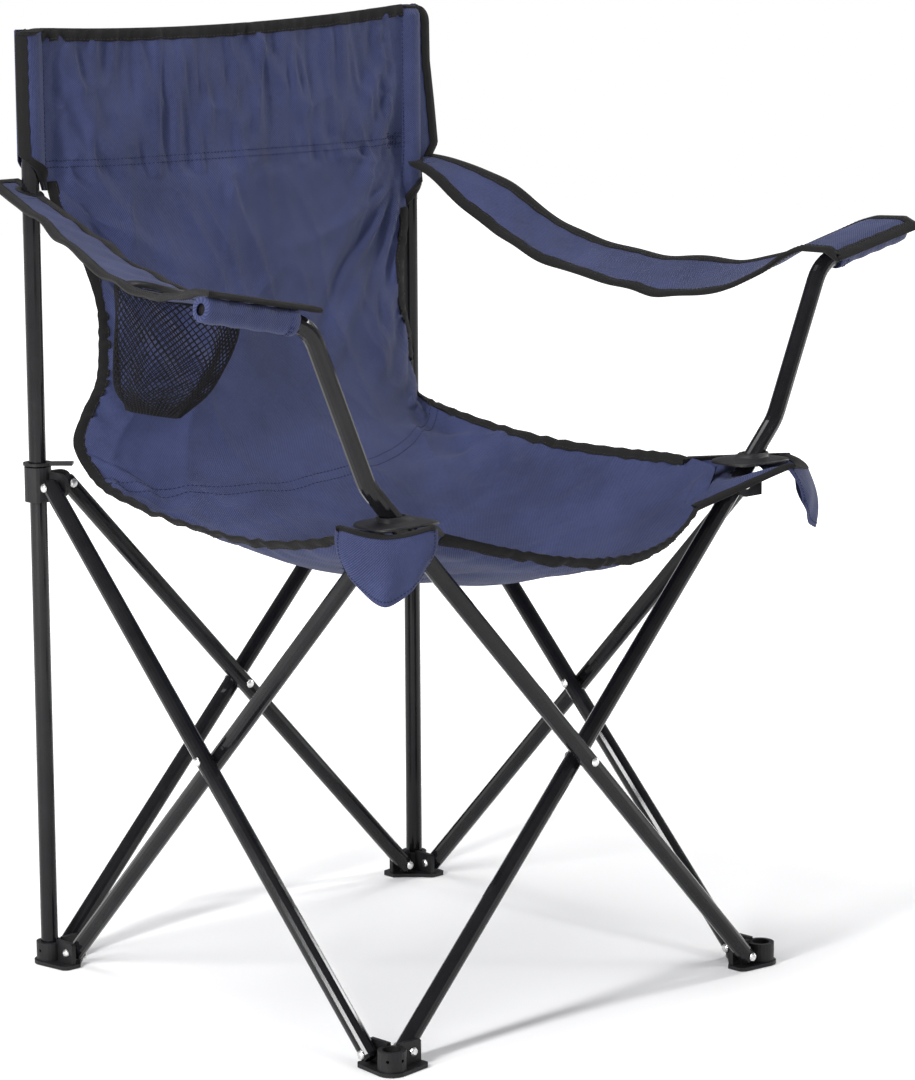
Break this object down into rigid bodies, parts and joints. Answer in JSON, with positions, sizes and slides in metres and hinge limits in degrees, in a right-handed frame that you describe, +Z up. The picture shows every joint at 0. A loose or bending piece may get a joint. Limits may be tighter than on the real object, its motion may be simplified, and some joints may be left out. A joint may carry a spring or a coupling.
{
  "type": "folding camp chair",
  "caption": "Folding camp chair: scissor tube frame that collapses to a bundle, slung fabric seat and back, strap armrests, and a mesh cup holder in the sitter's right armrest.",
  "frame": {"origin": "on the floor, at the middle of the overall box, between the four feet", "axes": "+Z up, the chair faces -Y, +X is at the right of someone who looks at the back from the front side"},
  "size_m": [0.8706, 0.5542, 0.868],
  "materials": {
    "black_coat": "gloss black powder coat",
    "black_plastic": "satin",
    "bright_steel": "bright zinc",
    "navy_cloth": "navy twill-weave polyester",
    "black_mesh": "open black polyester mesh"
  },
  "bodies": {
    "post_rear_left": {"rear_post_left": "black_coat", "post_cap_left": "black_plastic", "foot_rear_left": "black_plastic", "back_panel": "navy_cloth", "rivet_foot_rear_left_outer": "bright_steel", "rivet_foot_rear_left_inner": "bright_steel"},
    "leg_rear_outer": {"leg_rear_outer": "black_coat", "rivet_cross_rear": "bright_steel"},
    "leg_rear_inner": {"leg_rear_inner": "black_coat"},
    "post_rear_right": {"rear_post_right": "black_coat", "post_cap_right": "black_plastic", "foot_rear_right": "black_plastic", "rivet_foot_rear_right_outer": "bright_steel", "rivet_foot_rear_right_inner": "bright_steel"},
    "slider_left": {"slider_left": "black_plastic", "seat_hook_left": "black_plastic", "rivet_top_rear_left_outer": "bright_steel", "rivet_top_rear_left_inner": "bright_steel"},
    "slider_right": {"slider_right": "black_plastic", "seat_hook_right": "black_plastic", "rivet_top_rear_right_outer": "bright_steel", "rivet_top_rear_right_inner": "bright_steel"},
    "leg_left_inner": {"leg_left_inner": "black_coat"},
    "leg_left_outer": {"leg_left_outer": "black_coat", "rivet_cross_left": "bright_steel"},
    "foot_front_left": {"foot_front_left": "black_plastic", "rivet_foot_front_left_outer": "bright_steel", "rivet_foot_front_left_inner": "bright_steel"},
    "hub_left": {"hub_left": "black_plastic", "corner_flap_left": "navy_cloth", "rivet_top_front_left_outer": "bright_steel", "rivet_top_front_left_inner": "bright_steel"},
    "leg_right_outer": {"leg_right_outer": "black_coat", "rivet_cross_right": "bright_steel"},
    "leg_right_inner": {"leg_right_inner": "black_coat"},
    "foot_front_right": {"foot_front_right": "black_plastic", "rivet_foot_front_right_outer": "bright_steel", "rivet_foot_front_right_inner": "bright_steel"},
    "hub_right": {"hub_right": "black_plastic", "corner_flap_right": "navy_cloth", "rivet_top_front_right_outer": "bright_steel", "rivet_top_front_right_inner": "bright_steel"},
    "arm_post_right": {"arm_post_right": "black_coat", "corner_plate_right": "black_plastic", "arm_sleeve_right": "navy_cloth"},
    "arm_post_left": {"arm_post_left": "black_coat", "corner_plate_left": "black_plastic", "arm_sleeve_left": "navy_cloth", "rivet_cross_front": "bright_steel"},
    "seat_rear": {"seat_rear": "navy_cloth"},
    "seat_front": {"seat_front": "navy_cloth"},
    "armrest_left": {"armrest_left": "navy_cloth", "cup_rim": "black_plastic", "cup_pocket": "black_mesh"},
    "armrest_right": {"armrest_right": "navy_cloth"}
  },
  "joints": [
    {"name": "fold", "type": "hinge", "parent": "post_rear_left", "child": "leg_rear_outer", "pos_m": [-0.21, 0.246, 0.013], "axis": [0, -1, 0], "range_deg": [0, 38.5], "deforming": ["back_panel"]},
    {"name": "rear_cross", "type": "hinge", "parent": "leg_rear_outer", "child": "leg_rear_inner", "pos_m": [0, 0.246, 0.2335], "axis": [0, -1, 0], "range_deg": [-77.01, 0]},
    {"name": "rear_right_foot_pivot", "type": "hinge", "parent": "leg_rear_inner", "child": "post_rear_right", "pos_m": [0.21, 0.229, 0.013], "axis": [0, -1, 0], "range_deg": [0, 38.51]},
    {"name": "slider_left_pivot", "type": "hinge", "parent": "leg_rear_inner", "child": "slider_left", "pos_m": [-0.21, 0.229, 0.454], "axis": [0, -1, 0], "range_deg": [0, 38.51]},
    {"name": "slider_right_pivot", "type": "hinge", "parent": "leg_rear_outer", "child": "slider_right", "pos_m": [0.21, 0.246, 0.454], "axis": [0, -1, 0], "range_deg": [-38.51, 0]},
    {"name": "left_foot_pivot", "type": "hinge", "parent": "post_rear_left", "child": "leg_left_inner", "pos_m": [-0.2225, 0.2165, 0.013], "axis": [-1, 0, 0], "range_deg": [0, 38.51]},
    {"name": "left_cross", "type": "hinge", "parent": "leg_left_inner", "child": "leg_left_outer", "pos_m": [-0.2225, 0.0065, 0.2335], "axis": [-1, 0, 0], "range_deg": [-77.01, 0]},
    {"name": "front_left_foot_pivot", "type": "hinge", "parent": "leg_left_outer", "child": "foot_front_left", "pos_m": [-0.2395, -0.2035, 0.013], "axis": [-1, 0, 0], "range_deg": [0, 38.51]},
    {"name": "hub_left_pivot", "type": "hinge", "parent": "leg_left_inner", "child": "hub_left", "pos_m": [-0.2225, -0.2035, 0.454], "axis": [-1, 0, 0], "range_deg": [-38.51, 0], "deforming": ["corner_flap_left"]},
    {"name": "right_foot_pivot", "type": "hinge", "parent": "post_rear_right", "child": "leg_right_outer", "pos_m": [0.2395, 0.2165, 0.013], "axis": [-1, 0, 0], "range_deg": [0, 38.51]},
    {"name": "right_cross", "type": "hinge", "parent": "leg_right_outer", "child": "leg_right_inner", "pos_m": [0.2395, 0.0065, 0.2335], "axis": [-1, 0, 0], "range_deg": [-77.01, 0]},
    {"name": "front_right_foot_pivot", "type": "hinge", "parent": "leg_right_inner", "child": "foot_front_right", "pos_m": [0.2225, -0.2035, 0.013], "axis": [-1, 0, 0], "range_deg": [0, 38.51]},
    {"name": "hub_right_pivot", "type": "hinge", "parent": "leg_right_outer", "child": "hub_right", "pos_m": [0.2395, -0.2035, 0.454], "axis": [-1, 0, 0], "range_deg": [-38.51, 0], "deforming": ["corner_flap_right"]},
    {"name": "front_foot_pivot", "type": "hinge", "parent": "foot_front_left", "child": "arm_post_right", "pos_m": [-0.21, -0.216, 0.013], "axis": [0, -1, 0], "range_deg": [0, 38.51]},
    {"name": "front_cross", "type": "hinge", "parent": "arm_post_right", "child": "arm_post_left", "pos_m": [0, -0.216, 0.2335], "axis": [0, -1, 0], "range_deg": [-77.01, 0]},
    {"name": "seat_rear_drop", "type": "hinge", "parent": "slider_left", "child": "seat_rear", "pos_m": [0, 0.1985, 0.473], "axis": [1, 0, 0], "range_deg": [0, 78.01], "deforming": ["seat_rear"]},
    {"name": "seat_front_drop", "type": "hinge", "parent": "hub_left", "child": "seat_front", "pos_m": [0, -0.2015, 0.467], "axis": [-1, 0, 0], "range_deg": [0, 78.01], "deforming": ["seat_front"]},
    {"name": "armrest_left_swing", "type": "hinge", "parent": "post_rear_left", "child": "armrest_left", "pos_m": [-0.235, 0.2415, 0.729], "axis": [-0.9285, 0.2391, 0.2841], "range_deg": [0, 66.75], "deforming": ["armrest_left", "cup_rim", "cup_pocket"]},
    {"name": "armrest_right_swing", "type": "hinge", "parent": "post_rear_right", "child": "armrest_right", "pos_m": [0.235, 0.2415, 0.729], "axis": [-0.9307, -0.2515, -0.2656], "range_deg": [0, 71.4], "deforming": ["armrest_right"]}
  ],
  "couplings": [
    {"joint": "rear_cross", "follows": "fold", "ratio": -2},
    {"joint": "rear_right_foot_pivot", "follows": "fold", "ratio": 1},
    {"joint": "slider_left_pivot", "follows": "fold", "ratio": 1},
    {"joint": "slider_right_pivot", "follows": "fold", "ratio": -1},
    {"joint": "left_foot_pivot", "follows": "fold", "ratio": 1},
    {"joint": "left_cross", "follows": "fold", "ratio": -2},
    {"joint": "front_left_foot_pivot", "follows": "fold", "ratio": 1},
    {"joint": "hub_left_pivot", "follows": "fold", "ratio": -1},
    {"joint": "right_foot_pivot", "follows": "fold", "ratio": 1},
    {"joint": "right_cross", "follows": "fold", "ratio": -2},
    {"joint": "front_right_foot_pivot", "follows": "fold", "ratio": 1},
    {"joint": "hub_right_pivot", "follows": "fold", "ratio": -1},
    {"joint": "front_foot_pivot", "follows": "fold", "ratio": 1},
    {"joint": "front_cross", "follows": "fold", "ratio": -2},
    {"joint": "seat_rear_drop", "follows": "fold", "ratio": 2.026},
    {"joint": "seat_front_drop", "follows": "fold", "ratio": 2.026},
    {"joint": "armrest_left_swing", "follows": "fold", "ratio": 1.7334},
    {"joint": "armrest_right_swing", "follows": "fold", "ratio": 1.8542}
  ]
}
